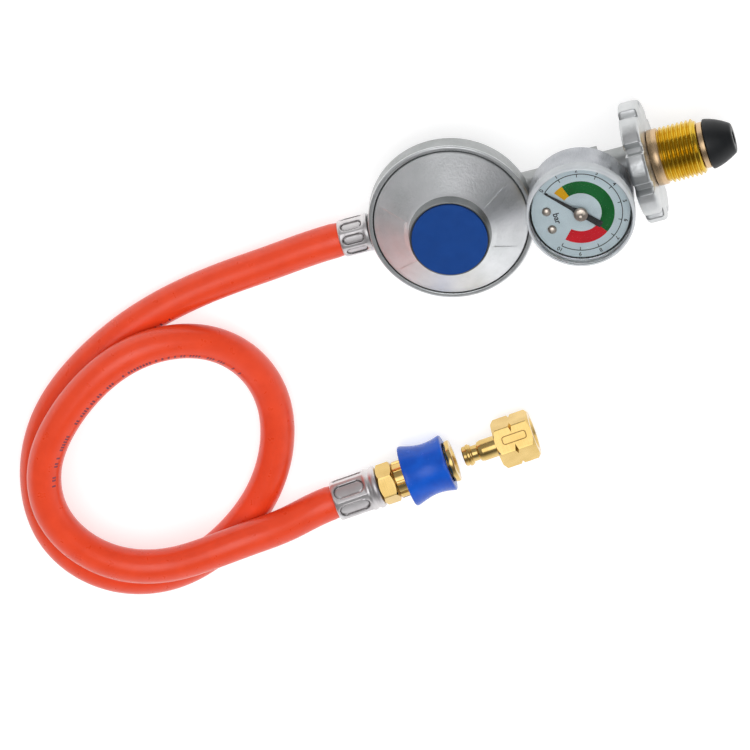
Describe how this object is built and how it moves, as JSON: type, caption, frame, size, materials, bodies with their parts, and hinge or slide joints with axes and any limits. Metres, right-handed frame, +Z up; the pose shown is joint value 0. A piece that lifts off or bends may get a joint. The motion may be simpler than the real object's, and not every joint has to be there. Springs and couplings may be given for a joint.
{
  "type": "propane regulator hose",
  "caption": "Low-pressure gas regulator with pressure gauge, hand-tightened inlet, looped rubber hose, quick-release coupling and separate tail plug.",
  "frame": {"origin": "on the floor that the object lies on, under the middle of the regulator's box (the regulator without its hose and what is on the hose)", "axes": "+Z up, out of the floor; +X along the coupling's axis towards the tail plug, which is within 6 degrees of the inlet pipe's axis; +Y from the coupling towards the regulator. The regulator lies on its back, tilted 5.3 degrees up towards its inlet."},
  "size_m": [0.3259, 0.1555, 0.0634],
  "materials": {
    "zinc_cast": "cast, satin, mottled",
    "blue_cap": "matte",
    "brass": "machined, polished",
    "spring_steel": "drawn wire",
    "seal_rubber": "matte",
    "black_rubber": "satin",
    "plated_steel": "plated, satin",
    "crimp_steel": "plated, bright",
    "gauge_steel": "satin",
    "clear_lens": "clear, gloss",
    "dial_face": "painted, satin",
    "pointer_black": "matte",
    "blue_plastic": "gloss",
    "hose_rubber": "satin"
  },
  "bodies": {
    "root": {"lower_casing": "zinc_cast", "upper_cover": "zinc_cast", "center_cap": "blue_cap", "adjusting_screw": "brass", "inlet_nozzle": "brass", "inlet_spigot": "brass", "outlet_tail": "brass", "gauge_socket": "brass", "bourdon_tube": "brass", "movement_frame": "brass", "coupling_tail": "brass", "coupling_body": "brass", "mouth_ring": "brass", "main_spring": "spring_steel", "sleeve_spring": "spring_steel", "poppet_spring": "spring_steel", "diaphragm": "seal_rubber", "gauge_gasket": "seal_rubber", "coupling_seal": "seal_rubber", "bullnose_seal": "black_rubber", "lever_pin": "plated_steel", "dial_screw_1": "plated_steel", "dial_screw_2": "plated_steel", "ferrule_regulator_end": "crimp_steel", "ferrule_coupling_end": "crimp_steel", "gauge_case": "gauge_steel", "gauge_lens": "clear_lens", "gauge_dial": "dial_face", "hose": "hose_rubber"},
    "handwheel": {"handwheel": "zinc_cast", "threaded_sleeve": "brass"},
    "pointer": {"pointer": "pointer_black", "pointer_shaft": "plated_steel", "pointer_cap": "plated_steel"},
    "sector": {"sector_gear": "brass", "sector_link": "brass"},
    "diaphragm_plate": {"diaphragm_plate": "plated_steel", "diaphragm_stem": "plated_steel"},
    "lever": {"lever": "plated_steel"},
    "valve": {"valve_holder": "brass", "valve_pad": "seal_rubber"},
    "release_sleeve": {"release_sleeve": "blue_plastic"},
    "poppet": {"poppet": "brass", "poppet_seal": "seal_rubber"},
    "tail_plug": {"tail_plug": "brass"},
    "locking_ball_1": {"locking_ball_1": "plated_steel"},
    "locking_ball_2": {"locking_ball_2": "plated_steel"},
    "locking_ball_3": {"locking_ball_3": "plated_steel"},
    "locking_ball_4": {"locking_ball_4": "plated_steel"}
  },
  "joints": [
    {"name": "handwheel_spin", "type": "hinge", "parent": "root", "child": "handwheel", "pos_m": [0.03755, -0.00412, 0.02493], "axis": [0.9944, -0.0521, 0.0924], "continuous": true},
    {"name": "sector_turn", "type": "hinge", "parent": "root", "child": "sector", "pos_m": [0.00106, -0.0022, 0.04966], "axis": [0.0922, -0.0048, -0.9957], "range_deg": [-26.7, 0], "stiffness_Nm_per_rad": 0.0005},
    {"name": "pointer_turn", "type": "hinge", "parent": "root", "child": "pointer", "pos_m": [0.00956, -0.00265, 0.05647], "axis": [0.0922, -0.0048, -0.9957], "range_deg": [0, 267]},
    {"name": "diaphragm_lift", "type": "slide", "parent": "root", "child": "diaphragm_plate", "axis": [-0.0922, 0.0048, 0.9957], "range_m": [0, 0.002], "stiffness_N_per_m": 2000, "springref_m": -0.004, "deforming": ["main_spring", "diaphragm"]},
    {"name": "lever_turn", "type": "hinge", "parent": "root", "child": "lever", "pos_m": [-0.02629, -0.00077, 0.01046], "axis": [0.0523, 0.9986, 0], "range_deg": [0, 8.3]},
    {"name": "valve_slide", "type": "slide", "parent": "root", "child": "valve", "axis": [0.9944, -0.0521, 0.0924], "range_m": [0, 0.00125]},
    {"name": "release_sleeve_slide", "type": "slide", "parent": "root", "child": "release_sleeve", "axis": [-1, 0, 0], "range_m": [0, 0.003], "stiffness_N_per_m": 600, "springref_m": -0.003, "deforming": ["sleeve_spring"]},
    {"name": "poppet_slide", "type": "slide", "parent": "root", "child": "poppet", "axis": [-1, 0, 0], "range_m": [0, 0.003], "stiffness_N_per_m": 300, "springref_m": -0.003, "deforming": ["poppet_spring"]},
    {"name": "tail_plug_slide", "type": "slide", "parent": "root", "child": "tail_plug", "axis": [-1, 0, 0], "range_m": [0, 0.0165]},
    {"name": "locking_ball_1_slide", "type": "slide", "parent": "root", "child": "locking_ball_1", "axis": [0, 0.7071, -0.7071], "range_m": [0, 0.001]},
    {"name": "locking_ball_2_slide", "type": "slide", "parent": "root", "child": "locking_ball_2", "axis": [0, 0.7071, 0.7071], "range_m": [0, 0.001]},
    {"name": "locking_ball_3_slide", "type": "slide", "parent": "root", "child": "locking_ball_3", "axis": [0, -0.7071, 0.7071], "range_m": [0, 0.001]},
    {"name": "locking_ball_4_slide", "type": "slide", "parent": "root", "child": "locking_ball_4", "axis": [0, -0.7071, -0.7071], "range_m": [0, 0.001]}
  ],
  "couplings": [
    {"joint": "pointer_turn", "follows": "sector_turn", "ratio": -10},
    {"joint": "lever_turn", "follows": "diaphragm_lift", "rad_per_m": 71.43},
    {"joint": "valve_slide", "follows": "diaphragm_lift", "ratio": 0.607},
    {"joint": "locking_ball_2_slide", "follows": "locking_ball_1_slide", "ratio": 1},
    {"joint": "locking_ball_3_slide", "follows": "locking_ball_1_slide", "ratio": 1},
    {"joint": "locking_ball_4_slide", "follows": "locking_ball_1_slide", "ratio": 1}
  ]
}
